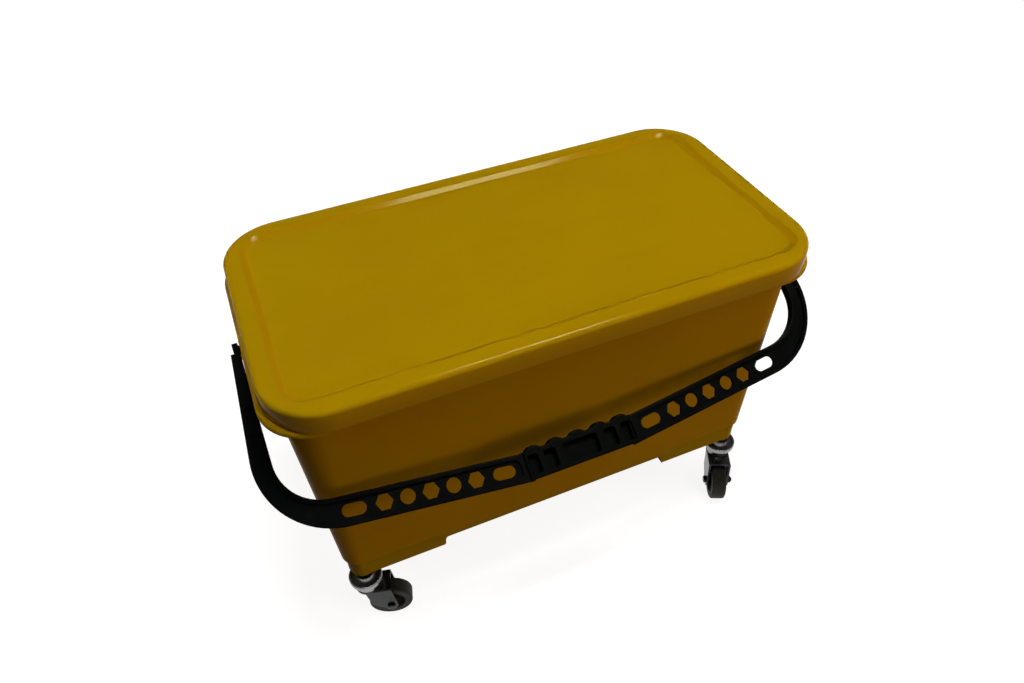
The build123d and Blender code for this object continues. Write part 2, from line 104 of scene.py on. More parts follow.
class Value:
    """A socket among the nodes of a board. Arithmetic on it adds Math nodes."""

    def __init__(self, board: "Board", socket: bpy.types.NodeSocket) -> None:
        """Keeps the board that the socket is on, and the socket."""
        self.board = board
        self.socket = socket

    def _math(self, operation: str, first: Operand, second: Operand = 0.0) -> "Value":
        """Adds one Math node on these two numbers or links."""
        return self.board.node("ShaderNodeMath", {"operation": operation}, {0: first, 1: second})

    def __add__(self, other: Operand) -> "Value":
        """Self plus other."""
        return self._math("ADD", self, other)

    def __radd__(self, other: Operand) -> "Value":
        """Other plus self."""
        return self._math("ADD", other, self)

    def __sub__(self, other: Operand) -> "Value":
        """Self minus other."""
        return self._math("SUBTRACT", self, other)

    def __rsub__(self, other: Operand) -> "Value":
        """Other minus self."""
        return self._math("SUBTRACT", other, self)

    def __mul__(self, other: Operand) -> "Value":
        """Self times other."""
        return self._math("MULTIPLY", self, other)

    def __rmul__(self, other: Operand) -> "Value":
        """Other times self."""
        return self._math("MULTIPLY", other, self)

    def __abs__(self) -> "Value":
        """The size of self without its sign."""
        return self._math("ABSOLUTE", self)

    def larger(self, other: Operand) -> "Value":
        """The larger one of self and other."""
        return self._math("MAXIMUM", self, other)

    def rise(self, low: float, high: float) -> "Value":
        """A smooth step of self.

        Args:
            low: where the step starts, at 0.
            high: where it ends, at 1. It may be the smaller one, for a step down.

        Returns:
            The step, from 0 to 1.
        """
        if low > high:
            return 1 - self.rise(high, low)
        settings = {"interpolation_type": "SMOOTHSTEP"}
        return self.board.node("ShaderNodeMapRange", settings, {"Value": self, 1: low, 2: high})


@dataclass(frozen=True)
class Grain:
    """A noise pattern.

    Attributes:
        size: the size of its features, in metres.
        layers: how many finer layers it has.
        turn: its direction about the Z axis, in degrees.
        stretch: the scale of its coordinates, which draws the features out where it is small.
    """

    size: float
    layers: float = 2.0
    turn: float = 0.0
    stretch: Triple = UNSTRETCHED


@dataclass(frozen=True)
class Scratches:
    """Fine long scratches that lie in patches.

    Attributes:
        turn: their direction about the Z axis, in degrees.
        spacing: the distance between them, in metres.
        width: how much of the noise about its middle a scratch takes up.
        stretch: the scale of their coordinates, small along the scratch.
        patch_size: the size of the patches, in metres.
        patch_edge: the noise at a patch's faint and full edges.
    """

    turn: float
    spacing: float
    width: float
    stretch: Triple = (0.04, 1.0, 1.0)
    patch_size: float = 0.06
    patch_edge: Span = (0.52, 0.68)


class Board:
    """The nodes of one material or of the world.

    Attributes:
        mix_colours: the places of the two colours among a Mix node's inputs.
        mix_result: the place of the mixed colour among its outputs.
    """

    mix_colours: tuple[int, int] = (6, 7)
    mix_result: int = 2

    def __init__(self, owner: bpy.types.Material | bpy.types.World) -> None:
        """Takes over the owner's nodes."""
        owner.use_nodes = True
        self.tree = owner.node_tree

    @property
    def shader(self) -> bpy.types.Node:
        """The surface shader of a piece's material."""
        return next(node for node in self.tree.nodes if node.type == "BSDF_PRINCIPLED")

    def node(
        self,
        kind: str,
        settings: dict | None = None,
        inputs: dict | None = None,
        output: int | str = 0,
    ) -> Value:
        """Adds one node.

        Args:
            kind: the node's type.
            settings: its properties, which are set first.
            inputs: the numbers or links of its sockets, by name or place.
            output: the socket that is wanted from it.

        Returns:
            That output.
        """
        made = self.tree.nodes.new(kind)
        for key, value in (settings or {}).items():
            setattr(made, key, value)
        for key, value in (inputs or {}).items():
            self.feed(made.inputs[key], value)
        return Value(self, made.outputs[output])

    def feed(self, socket: bpy.types.NodeSocket, value: "Value | float | Colour") -> None:
        """Links a value to a socket, or sets the socket.

        Args:
            socket: the socket of a node's input.
            value: the link, the plain number or the colour that it takes.
        """
        if isinstance(value, Value):
            self.tree.links.new(value.socket, socket)
        elif isinstance(value, tuple) and len(socket.default_value) == 4:
            socket.default_value = (*value, 1.0)
        else:
            socket.default_value = value

    def set(self, **sockets: "Value | float | Colour") -> None:
        """Sets the shader's sockets, named with underscores for spaces."""
        for name, value in sockets.items():
            self.feed(self.shader.inputs[name.replace("_", " ")], value)

    def close(self, kind: str, surface: Value) -> None:
        """Adds an output node of this kind for a finished shader."""
        self.feed(self.tree.nodes.new(kind).inputs["Surface"], surface)

    def place(self) -> Value:
        """The point of the surface in the object's own coordinates."""
        return self.node("ShaderNodeTexCoord", output="Object")

    def along(self, place: Value, axis: str) -> Value:
        """How far a point lies along the axis X, Y or Z."""
        return self.node("ShaderNodeSeparateXYZ", {}, {0: place}, axis)

    def ray(self, kind: str) -> Value:
        """1 for a ray of this kind and 0 for others."""
        return self.node("ShaderNodeLightPath", output=kind)

    def seen(self) -> Value:
        """1 for a ray from the camera, from a mirror surface or through glass, and 0 for others."""
        mirrored = self.ray("Is Glossy Ray").larger(self.ray("Is Transmission Ray"))
        return self.ray("Is Camera Ray").larger(mirrored)

    def mix(self, share: Operand, first: "Value | Colour", second: "Value | Colour") -> Value:
        """A colour between two: first at share 0, second at share 1."""
        colours = dict(zip(self.mix_colours, (first, second)))
        return self.node("ShaderNodeMix", {"data_type": "RGBA"}, {0: share, **colours}, self.mix_result)

    def past_box(self, place: Value, half: Triple) -> Value:
        """How far a point lies outside a box round the origin.

        Args:
            place: the point.
            half: half the box's sizes.

        Returns:
            The distance, which is 0 inside the box.
        """
        size = self.node("ShaderNodeVectorMath", {"operation": "ABSOLUTE"}, {0: place})
        over = self.node("ShaderNodeVectorMath", {"operation": "SUBTRACT"}, {0: size, 1: half})
        outside = self.node("ShaderNodeVectorMath", {"operation": "MAXIMUM"}, {0: over, 1: (0.0, 0.0, 0.0)})
        return self.node("ShaderNodeVectorMath", {"operation": "LENGTH"}, {0: outside}, "Value")

    def noise(self, place: Value, grain: Grain) -> Value:
        """Soft noise from 0 to 1.

        Args:
            place: where to read it.
            grain: its pattern.

        Returns:
            The noise.
        """
        if grain.turn or grain.stretch != UNSTRETCHED:
            turn = (0.0, 0.0, radians(grain.turn))
            inputs = {"Vector": place, "Rotation": turn, "Scale": grain.stretch}
            place = self.node("ShaderNodeMapping", {}, inputs)
        inputs = {"Vector": place, "Scale": 1 / grain.size, "Detail": grain.layers}
        return self.node("ShaderNodeTexNoise", {}, inputs)

    def ripple(self, place: Value, grain: Grain) -> Value:
        """Soft noise about 0."""
        return self.noise(place, grain) - NOISE_MIDDLE

    def scratches(self, place: Value, *sets: Scratches) -> Value:
        """Fine long scratches.

        Args:
            place: where to read them.
            sets: the sets of scratches, which are added up.

        Returns:
            1 on a scratch, 0 beside it and more where scratches cross.
        """
        total = 0.0
        for marks in sets:
            line = abs(self.ripple(place, Grain(marks.spacing, 1.0, marks.turn, marks.stretch)))
            patch = self.noise(place, Grain(marks.patch_size, turn=marks.turn)).rise(*marks.patch_edge)
            total = line.rise(marks.width, 0.0) * patch + total
        return total

    def raise_surface(self, height: Value) -> None:
        """Bumps the surface by a height in metres."""
        bumped = self.node("ShaderNodeBump", {}, {"Strength": 1.0, "Distance": 1.0, "Height": height})
        self.set(Normal=bumped)


@dataclass(frozen=True)
class Finish:
    """What every finish has: the name of its material."""

    name: str

    def material(self) -> bpy.types.Material:
        """Makes the material."""
        made = bpy.data.materials.new(self.name)
        self.paint(Board(made))
        return made

    def paint(self, board: Board) -> None:
        """Adds the finish's nodes to the board."""
        raise NotImplementedError


@dataclass(frozen=True)
class GlossPlastic(Finish):
    """Moulded plastic with a slight gloss, faint flow clouds, fine scuffs and a barely wavy face."""

    colour: Colour
    deep_colour: Colour
    worn_colour: Colour
    roughness: float
    specular: float
    cloud: Grain = Grain(0.11, 4.0)
    cloud_tone: float = 0.9
    cloud_roughness: float = 0.06
    flow: Grain = Grain(0.02, 3.0, 12.0, (0.25, 1.0, 0.6))
    flow_tone: float = 0.35
    speck: Grain = Grain(0.0035)
    speck_tone: float = 0.25
    speck_roughness: float = 0.03
    middle_tone: float = 0.35
    scuffs: tuple[Scratches, ...] = (Scratches(18.0, 0.012, 0.012), Scratches(-47.0, 0.009, 0.010))
    scuff_share: float = 0.06
    scuff_roughness: float = 0.08
    scuff_depth: float = 0.000006
    wave: Grain = Grain(0.14, 1.0)
    wave_height: float = 0.00012
    peel: Grain = Grain(0.0016, 1.0)
    peel_height: float = 0.000004

    def paint(self, board: Board) -> None:
        """Adds the finish's nodes.

        Args:
            board: the material's board.
        """
        place = board.place()
        cloud = board.ripple(place, self.cloud)
        flow = board.ripple(place, self.flow)
        speck = board.ripple(place, self.speck)
        scuff = board.scratches(place, *self.scuffs)
        tone = cloud * self.cloud_tone + flow * self.flow_tone + speck * self.speck_tone + self.middle_tone
        plain = board.mix(tone.rise(0.0, 1.0), self.colour, self.deep_colour)
        body = self.shaped(board, place, plain)
        uneven = cloud * self.cloud_roughness + speck * self.speck_roughness
        board.set(
            Base_Color=board.mix(scuff * self.scuff_share, body, self.worn_colour),
            Roughness=uneven + scuff * self.scuff_roughness + self.roughness,
            Specular_IOR_Level=self.specular,
        )
        wave = board.noise(place, self.wave) * self.wave_height
        peel = board.noise(place, self.peel) * self.peel_height
        board.raise_surface(wave + peel - scuff * self.scuff_depth)

    def shaped(self, board: Board, place: Value, body: Value) -> Value:
        """The body colour with painted shade where a subclass adds it, which is nowhere on plain plastic."""
        return body


@dataclass(frozen=True)
class TubPlastic(GlossPlastic):
    """The tub's plastic, darker and greener on the feet, with a painted shadow along the shoulder above them.
    """

    foot_colour: Colour = (0.276, 0.188, 0.0010)
    foot_top: float = 0.1080
    foot_ends: Span = (0.12, 0.15)
    shoulder_shadow_colour: Colour = (0.20, 0.120, 0.0010)
    shoulder_shadow_share: float = 0.6
    shoulder_band: float = 0.0016

    def shaped(self, board: Board, place: Value, body: Value) -> Value:
        """The body colour, mixed with the feet's colour and the painted shadow by height.

        Args:
            board: the material's board.
            place: the point of the surface.
            body: the colour of plain plastic there.

        Returns:
            The mixed colour.
        """
        height = board.along(place, "Z")
        foot = height.rise(self.foot_top + self.shoulder_band, self.foot_top - self.shoulder_band)
        near_end = abs(board.along(place, "X")).rise(*self.foot_ends)
        # painted shadow: a dark line along the foot shoulder, near the tub's ends
        shoulder_shadow = abs(height - self.foot_top).rise(self.shoulder_band, 0.0) * near_end * self.shoulder_shadow_share
        return board.mix(shoulder_shadow, board.mix(foot, body, self.foot_colour), self.shoulder_shadow_colour)


@dataclass(frozen=True)
class Recess:
    """The recessed panel of the lid, with the slope that leads down to it."""

    border: float = 0.0165
    corner_radius: float = 0.024
    slope: float = 0.0055
    depth: float = 0.0035


@dataclass(frozen=True)
class LidPlastic(GlossPlastic):
    """The lid's plastic, with painted shade on the slope round the recessed panel."""

    recess: Recess = Recess()
    slope_shade_colour: Colour = (0.340, 0.184, 0.0006)
    slope_shade_fade: float = 0.0015
    any_height: float = 1.0

    def shaped(self, board: Board, place: Value, body: Value) -> Value:
        """The body colour, darkened by painted shade on the slope in a rounded frame.

        Args:
            board: the material's board.
            place: the point of the surface.
            body: the colour of plain plastic there.

        Returns:
            The mixed colour.
        """
        low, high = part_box("lid")
        inset = self.recess.border + self.recess.corner_radius
        half = ((high.x - low.x) / 2 - inset, (high.y - low.y) / 2 - inset, self.any_height)
        outside = board.past_box(place, half) - self.recess.corner_radius
        foot = -self.recess.slope
        inner = outside.rise(foot - self.slope_shade_fade, foot + self.slope_shade_fade)
        outer = outside.rise(self.slope_shade_fade, -self.slope_shade_fade)
        # painted shade: the slope round the recess is drawn a deeper orange
        return board.mix(inner * outer, body, self.slope_shade_colour)


@dataclass(frozen=True)
class SatinPlastic(Finish):
    """Dark moulded plastic with a fine spark-eroded grain, dusty patches and burnished scuffs."""

    colour: Colour
    dusty_colour: Colour
    roughness: float = 0.42
    specular: float = 0.0025
    cloud: Grain = Grain(0.045, 4.0)
    cloud_roughness: float = 0.22
    speck: Grain = Grain(0.0009)
    speck_share: float = 0.3
    speck_height: float = 0.000012
    dust: Grain = Grain(0.013, 5.0)
    dust_edge: Span = (0.5, 0.78)
    dust_share: float = 0.55
    dust_roughness: float = 0.14
    scuffs: tuple[Scratches, ...] = (Scratches(8.0, 0.006, 0.014), Scratches(70.0, 0.007, 0.012))
    scuff_share: float = 0.35
    scuff_polish: float = 0.1
    scuff_depth: float = 0.000008

    def paint(self, board: Board) -> None:
        """Adds the finish's nodes.

        Args:
            board: the material's board.
        """
        place = board.place()
        cloud = board.ripple(place, self.cloud)
        speck = board.ripple(place, self.speck)
        dust = board.noise(place, self.dust).rise(*self.dust_edge)
        scuff = board.scratches(place, *self.scuffs)
        body = board.mix(dust * self.dust_share + speck * self.speck_share, self.colour, self.dusty_colour)
        uneven = cloud * self.cloud_roughness + dust * self.dust_roughness
        board.set(
            Base_Color=board.mix(scuff * self.scuff_share, body, self.dusty_colour),
            Roughness=uneven - scuff * self.scuff_polish + self.roughness,
            Specular_IOR_Level=self.specular,
        )
        board.raise_surface(speck * self.speck_height - scuff * self.scuff_depth)


@dataclass(frozen=True)
class PlatedSteel(Finish):
    """Plated steel: mottled and finely brushed, with a painted reflection that brightens it in a band of
    heights, and darker above and below that band.
    """

    colour: Colour
    dull_colour: Colour
    painted_reflection_colour: Colour
    roughness: float = 0.2
    painted_reflection_from: float = 0.0568
    painted_reflection_to: float = 0.076
    painted_reflection_fade: float = 0.004
    painted_reflection_dulling: float = 0.3
    painted_reflection_haze: float = 0.22
    mottle: Grain = Grain(0.006, 4.0)
    mottle_edge: Span = (0.3, 0.75)
    mottle_dulling: float = 0.4
    bloom: Grain = Grain(0.016, 3.0)
    bloom_edge: Span = (0.45, 0.75)
    bloom_dulling: float = 0.45
    bloom_roughness: float = 0.14
    pit: Grain = Grain(0.0011, 1.0)
    pit_edge: Span = (0.70, 0.80)
    pit_dulling: float = 0.4
    pit_roughness: float = 0.15
    pit_depth: float = 0.000006
    brush: Grain = Grain(0.0007, 2.0, 30.0, (0.08, 1.0, 1.0))
    brush_roughness: float = 0.1
    brush_height: float = 0.0000015

    def paint(self, board: Board) -> None:
        """Adds the finish's nodes.

        Args:
            board: the material's board.
        """
        place = board.place()
        mottle = board.noise(place, self.mottle).rise(*self.mottle_edge)
        bloom = board.noise(place, self.bloom).rise(*self.bloom_edge)
        pit = board.noise(place, self.pit).rise(*self.pit_edge)
        brush = board.ripple(place, self.brush)
        dulled = mottle * self.mottle_dulling + bloom * self.bloom_dulling + pit * self.pit_dulling
        height = board.along(place, "Z")
        # painted reflection: between two heights the plating is drawn brighter and partly non-metallic; above
        # and below the band it keeps its darker colour
        over = height.rise(self.painted_reflection_from - self.painted_reflection_fade, self.painted_reflection_from)
        under = height.rise(self.painted_reflection_to, self.painted_reflection_to - self.painted_reflection_fade)
        painted_reflection = over * under * (1 - dulled * self.painted_reflection_dulling)
        dim_plate = board.mix(dulled, self.colour, self.dull_colour)
        uneven = brush * self.brush_roughness + bloom * self.bloom_roughness + pit * self.pit_roughness
        board.set(
            Base_Color=board.mix(painted_reflection, dim_plate, self.painted_reflection_colour),
            Roughness=uneven + self.roughness,
            Metallic=1 - painted_reflection * self.painted_reflection_haze,
        )
        board.raise_surface(brush * self.brush_height - pit * self.pit_depth)


@dataclass(frozen=True)
class WornRubber(Finish):
    """Matt rubber with a grey bloom, fine pores and road dust."""

    colour: Colour
    dusty_colour: Colour
    roughness: float = 0.66
    specular: float = 0.3
    bloom: Grain = Grain(0.008, 5.0)
    bloom_share: float = 0.5
    bloom_roughness: float = 0.2
    bloom_height: float = 0.00003
    pore: Grain = Grain(0.0006)
    pore_height: float = 0.00002
    dust: Grain = Grain(0.005, 4.0, stretch=(1.0, 1.0, 2.5))
    dust_edge: Span = (0.48, 0.75)
    dust_share: float = 0.6
    dust_roughness: float = 0.12

    def paint(self, board: Board) -> None:
        """Adds the finish's nodes.

        Args:
            board: the material's board.
        """
        place = board.place()
        bloom = board.ripple(place, self.bloom)
        dust = board.noise(place, self.dust).rise(*self.dust_edge)
        share = dust * self.dust_share + bloom * self.bloom_share
        board.set(
            Base_Color=board.mix(share, self.colour, self.dusty_colour),
            Roughness=bloom * self.bloom_roughness + dust * self.dust_roughness + self.roughness,
            Specular_IOR_Level=self.specular,
        )
        board.raise_surface(board.noise(place, self.pore) * self.pore_height + bloom * self.bloom_height)


FINISHES: dict[Slot, Finish] = {
    Slot.TUB: TubPlastic(
        name="tub_yellow",
        colour=(0.345, 0.200, 0.0008),
        deep_colour=(0.300, 0.169, 0.0006),
        worn_colour=(0.45, 0.30, 0.03),
        roughness=0.22,
        specular=0.002,
    ),
    Slot.LID: LidPlastic(
        name="lid_yellow",
        colour=(0.350, 0.214, 0.0008),
        deep_colour=(0.310, 0.184, 0.0006),
        worn_colour=(0.45, 0.32, 0.03),
        roughness=0.09,
        specular=0.0045,
        wave_height=0.00004,
    ),
    Slot.HANDLE: SatinPlastic(
        name="handle_black",
        colour=(0.0020, 0.0025, 0.0032),
        dusty_colour=(0.0052, 0.0058, 0.0068),
    ),
    Slot.ZINC: PlatedSteel(
        name="zinc_plate",
        colour=(0.029, 0.0303, 0.0311),
        dull_colour=(0.018, 0.0189, 0.0195),
        painted_reflection_colour=(0.31, 0.317, 0.325),
    ),
    Slot.BEARING: PlatedSteel(
        name="bearing_steel",
        colour=(0.065, 0.067, 0.068),
        dull_colour=(0.032, 0.033, 0.032),
        painted_reflection_colour=(0.15, 0.152, 0.155),
        roughness=0.26,
    ),
    Slot.CORE: SatinPlastic(
        name="core_grey",
        colour=(0.022, 0.023, 0.021),
        dusty_colour=(0.045, 0.045, 0.040),
        roughness=0.5,
    ),
    Slot.TYRE: WornRubber(
        name="tyre_grey",
        colour=(0.014, 0.0148, 0.0117),
        dusty_colour=(0.033, 0.0333, 0.0276),
    ),
}


def even_shading(target: bpy.types.Object) -> None:
    """Lets large faces set the shading, so that they look flat beside rounded edges.

    Args:
        target: the object that gets the modifier.
    """
    even = target.modifiers.new("even_shading", "WEIGHTED_NORMAL")
    even.weight = FLAT_FACE_WEIGHT
    even.keep_sharp = True


class Sculpt:
    """A mesh in the making, worked with mesh operators."""

    def __init__(self) -> None:
        """Starts with an empty mesh."""
        self.mesh = bmesh.new()

    def bevel(self, geometry: list, radius: float, segments: int, affect: str = "EDGES") -> None:
        """Rounds edges or corners.

        Args:
            geometry: the edges or corners.
            radius: the radius of the rounding.
            segments: the faces or edges across it.
            affect: EDGES or VERTICES.
        """
        bmesh.ops.bevel(
            self.mesh,
            geom=geometry,
            offset=radius,
            offset_type="OFFSET",
            segments=segments,
            profile=0.5,
            affect=affect,
            material=-1,
        )

    def loop(self, length: float, width: float, radius: float, height: float, segments: int) -> list:
        """Adds a rounded rectangle as a ring of edges, centred on the Z axis.

        Args:
            length: its size along X.
            width: its size along Y.
            radius: the radius of its corners.
            height: its place on Z.
            segments: the edges of each corner.

        Returns:
            The ring's edges.
        """
        before = set(self.mesh.edges)
        corners = bmesh.ops.create_grid(self.mesh, x_segments=1, y_segments=1, size=0.5)["verts"]
        bmesh.ops.scale(self.mesh, vec=(length, width, 1), verts=corners)
        bmesh.ops.translate(self.mesh, vec=(0, 0, height), verts=corners)
        self.bevel(corners, radius, segments, "VERTICES")
        ring = [edge for edge in self.mesh.edges if edge not in before]
        faces = {face for edge in ring for face in edge.link_faces}
        bmesh.ops.delete(self.mesh, geom=list(faces), context="FACES_ONLY")
        return ring

    def bridge(self, rings: list[list]) -> None:
        """Joins each ring to the next with faces."""
        for low, high in zip(rings, rings[1:]):
            bmesh.ops.bridge_loops(self.mesh, edges=low + high)

    def cap(self, ring: list) -> None:
        """Closes a ring with one face."""
        bmesh.ops.contextual_create(self.mesh, geom=ring)

    def face_outwards(self) -> None:
        """Turns all faces outwards."""
        bmesh.ops.recalc_face_normals(self.mesh, faces=self.mesh.faces)

    def thicken(self, wall: float) -> None:
        """Gives the sheet a wall of this thickness."""
        bmesh.ops.solidify(self.mesh, geom=self.mesh.faces[:], thickness=wall)

    def piece(self, name: str) -> bpy.types.Object:
        """Ends the work and puts the mesh into the scene, shaded smooth.

        Args:
            name: the piece's name.

        Returns:
            The piece.
        """
        for face in self.mesh.faces:
            face.smooth = True
        data = bpy.data.meshes.new(name)
        self.mesh.to_mesh(data)
        self.mesh.free()
        made = bpy.data.objects.new(name, data)
        bpy.context.scene.collection.objects.link(made)
        even_shading(made)
        return made


@dataclass
class Workshop:
    """The materials, and what puts them on pieces and frame nodes.

    Attributes:
        merge_distance: how near two corners of a node's loose triangles lie to be joined, in metres.
        flat_angle: the bend, in degrees, under which faces are joined to one flat face.
        sharp_angle: the bend, in degrees, over which an edge is rounded.
        smooth_angle: the bend, in degrees, under which an edge is shaded smooth.
        edge_segments: the faces across a rounded edge.
    """

    merge_distance: float = 1e-6
    flat_angle: float = 0.3
    sharp_angle: float = 32.0
    smooth_angle: float = 28.0
    edge_segments: int = 2

    def __post_init__(self) -> None:
        """Makes every finish, and the nodes that shade smooth, once."""
        self.materials = {slot: finish.material() for slot, finish in FINISHES.items()}
        self.smoothing = self._smoothing()

    def _smoothing(self) -> bpy.types.NodeTree:
        """Makes a modifier's nodes that shade a mesh smooth, apart from its sharper edges.

        Returns:
            The modifier's nodes.
        """
        tree = bpy.data.node_groups.new("smooth_under_angle", "GeometryNodeTree")
        tree.interface.new_socket("Geometry", in_out="INPUT", socket_type="NodeSocketGeometry")
        tree.interface.new_socket("Geometry", in_out="OUTPUT", socket_type="NodeSocketGeometry")
        start = tree.nodes.new("NodeGroupInput")
        end = tree.nodes.new("NodeGroupOutput")
        angle = tree.nodes.new("GeometryNodeInputMeshEdgeAngle")
        blunt = tree.nodes.new("FunctionNodeCompare")
        blunt.operation = "LESS_THAN"
        blunt.inputs["B"].default_value = radians(self.smooth_angle)
        faces = tree.nodes.new("GeometryNodeSetShadeSmooth")
        edges = tree.nodes.new("GeometryNodeSetShadeSmooth")
        edges.domain = "EDGE"
        tree.links.new(start.outputs[0], faces.inputs["Geometry"])
        tree.links.new(faces.outputs[0], edges.inputs["Geometry"])
        tree.links.new(angle.outputs["Unsigned Angle"], blunt.inputs["A"])
        tree.links.new(blunt.outputs[0], edges.inputs["Shade Smooth"])
        tree.links.new(edges.outputs[0], end.inputs[0])
        return tree

    def dress_node(self, node: str, slot: Slot, edge: float = 0.0) -> None:
        """Gives a frame node its finish and soft edges.

        Args:
            node: the node's name.
            slot: the finish.
            edge: the width of the rounding of its sharp edges, or 0 for none.
        """
        target = frame["nodes"][node]
        if not target.material_slots:
            target.data.materials.append(None)
        for place in target.material_slots:
            place.material = self.materials[slot]
        weld = target.modifiers.new("join", "WELD")
        weld.merge_threshold = self.merge_distance
        if edge:
            flat = target.modifiers.new("flat_faces", "DECIMATE")
            flat.decimate_type = "DISSOLVE"
            flat.angle_limit = radians(self.flat_angle)
            soft = target.modifiers.new("soft_edges", "BEVEL")
            soft.width = edge
            soft.segments = self.edge_segments
            soft.limit_method = "ANGLE"
            soft.angle_limit = radians(self.sharp_angle)
        smooth = target.modifiers.new("smooth", "NODES")
        smooth.node_group = self.smoothing
        even_shading(target)
        log.info("dressed node %s", node)

    def dress_piece(self, piece: bpy.types.Object, slot: Slot, body: str, *nodes: str) -> None:
        """Gives a new piece its finish, its body and the nodes that it stands for.

        Args:
            piece: the new piece.
            slot: the finish.
            body: the body that it moves with.
            nodes: the frame nodes that it replaces.
        """
        piece.data.materials.append(self.materials[slot])
        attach(piece, body)
        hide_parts(*nodes)
        log.info("made piece %s for %s", piece.name, ", ".join(nodes))


@dataclass
class Lid:
    """The lid: a thin shell with a skirt, a rounded border and a recessed panel."""

    recess: Recess = Recess()
    corner_radius: float = 0.053
    corner_segments: int = 20
    edge_radius: float = 0.0045
    edge_segments: int = 10
    crease_radius: float = 0.0009
    crease_segments: int = 4
    wall: float = 0.0025

    def build(self, shop: Workshop) -> None:
        """Makes the lid's shell, to stand for the frame's lid.

        Args:
            shop: what gives the shell its finish.
        """
        low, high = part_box("lid")
        length, width = high.x - low.x, high.y - low.y
        in_border = 2 * self.recess.border
        in_panel = in_border + 2 * self.recess.slope
        panel_corner = self.recess.corner_radius - self.recess.slope
        panel_height = high.z - self.recess.depth
        round_by = self.corner_segments
        shape = Sculpt()
        foot = shape.loop(length, width, self.corner_radius, low.z, round_by)
        rim = shape.loop(length, width, self.corner_radius, high.z, round_by)
        crest = shape.loop(
            length - in_border, width - in_border, self.recess.corner_radius, high.z, round_by
        )
        panel = shape.loop(length - in_panel, width - in_panel, panel_corner, panel_height, round_by)
        shape.bridge([foot, rim, crest, panel])
        shape.cap(panel)
        shape.face_outwards()
        shape.bevel(crest + panel, self.crease_radius, self.crease_segments)
        shape.bevel([edge for edge in rim if edge.is_valid], self.edge_radius, self.edge_segments)
        shape.thicken(self.wall)
        shop.dress_piece(shape.piece("lid_shell"), Slot.LID, "lid_body", "lid")


@dataclass
class Tub:
    """The tub with its rim, feet, pivot bosses and handle rests."""

    soft_edge: float = 0.0004

    def build(self, shop: Workshop) -> None:
        """Dresses the frame's tub."""
        shop.dress_node("tub", Slot.TUB, self.soft_edge)


@dataclass
class Bail:
    """The bail handle."""

    soft_edge: float = 0.0005

    def build(self, shop: Workshop) -> None:
        """Dresses the frame's handle."""
        shop.dress_node("handle", Slot.HANDLE, self.soft_edge)


@dataclass
class Caster:
    """One swivel caster: its plated pieces, the steel pieces hidden inside, and its wheel."""

    corner: Corner
    soft_edge: float = 0.0003
    plated: tuple[str, ...] = ("stem", "fork", "axle_bolt", "axle_nut", "bearing_cup", "pintle_washer")
    hidden: tuple[str, ...] = ("bearing_cone", "bearing_balls", "axle_bush", "stem_socket")

    def node(self, piece: str) -> str:
        """The name of one of this caster's nodes."""
        return f"{self.corner.value}_{piece}"

    def build(self, shop: Workshop) -> None:
        """Dresses the caster's nodes.

        Args:
            shop: what gives them their finishes.
        """
        for piece in self.plated:
            shop.dress_node(self.node(piece), Slot.ZINC, self.soft_edge)
        for piece in self.hidden:
            shop.dress_node(self.node(piece), Slot.BEARING)
        shop.dress_node(self.node("wheel_core"), Slot.CORE, self.soft_edge)
        shop.dress_node(self.node("tyre"), Slot.TYRE, self.soft_edge)


@dataclass(frozen=True)
class Lamp:
    """A rectangular soft lamp that faces a point, or straight down with its first side along X."""

    name: str
    place: Triple
    sides: Span
    watts: float
    reach: Reach
    lit: Lit = Lit.ALL
    colour: Colour = WHITE
    target: Triple | None = None

    def build(self) -> None:
        """Puts the lamp into the scene.

        A lamp for colour is sampled directly only, so that its level doesn't depend on the linked lamps.
        """
        data = bpy.data.lights.new(self.name, "AREA")
        data.shape = "RECTANGLE"
        data.size, data.size_y = self.sides
        data.energy = self.watts
        data.color = self.colour
        data.cycles.use_multiple_importance_sampling = self.reach is Reach.SHINE
        lamp = bpy.data.objects.new(self.name, data)
        place = Vector(self.place)
        aim = (Vector(self.target) - place).to_track_quat("-Z", "Y") if self.target else None
        lamp.matrix_world = Matrix.LocRotScale(place, aim, None)
        lamp.visible_diffuse = self.reach is Reach.COLOUR
        lamp.visible_glossy = self.reach is Reach.SHINE
        if self.lit is not Lit.ALL:
            lamp.light_linking.receiver_collection = self._linked()
        bpy.context.scene.collection.objects.link(lamp)

    def _linked(self) -> bpy.types.Collection:
        """Gathers the pieces that the lamp is limited to.

        Returns:
            A collection of them.
        """
        nodes = frame["nodes"]
        pieces = [bpy.data.objects["lid_shell"], nodes["tub"], nodes["handle"]]
        if self.lit is Lit.CUPS:
            pieces = [nodes[f"{corner.value}_bearing_cup"] for corner in Corner]
        group = bpy.data.collections.new(f"{self.name}_lit")
        for piece in pieces:
            group.objects.link(piece)
        return group


SHEEN: Colour = (0.85, 1.0, 0.47)
AMBER: Colour = (1.0, 0.68, 0.40)
STRAW: Colour = (1.0, 0.85, 0.65)
MIDDLE: Triple = (0.0, 0.0, 0.25)

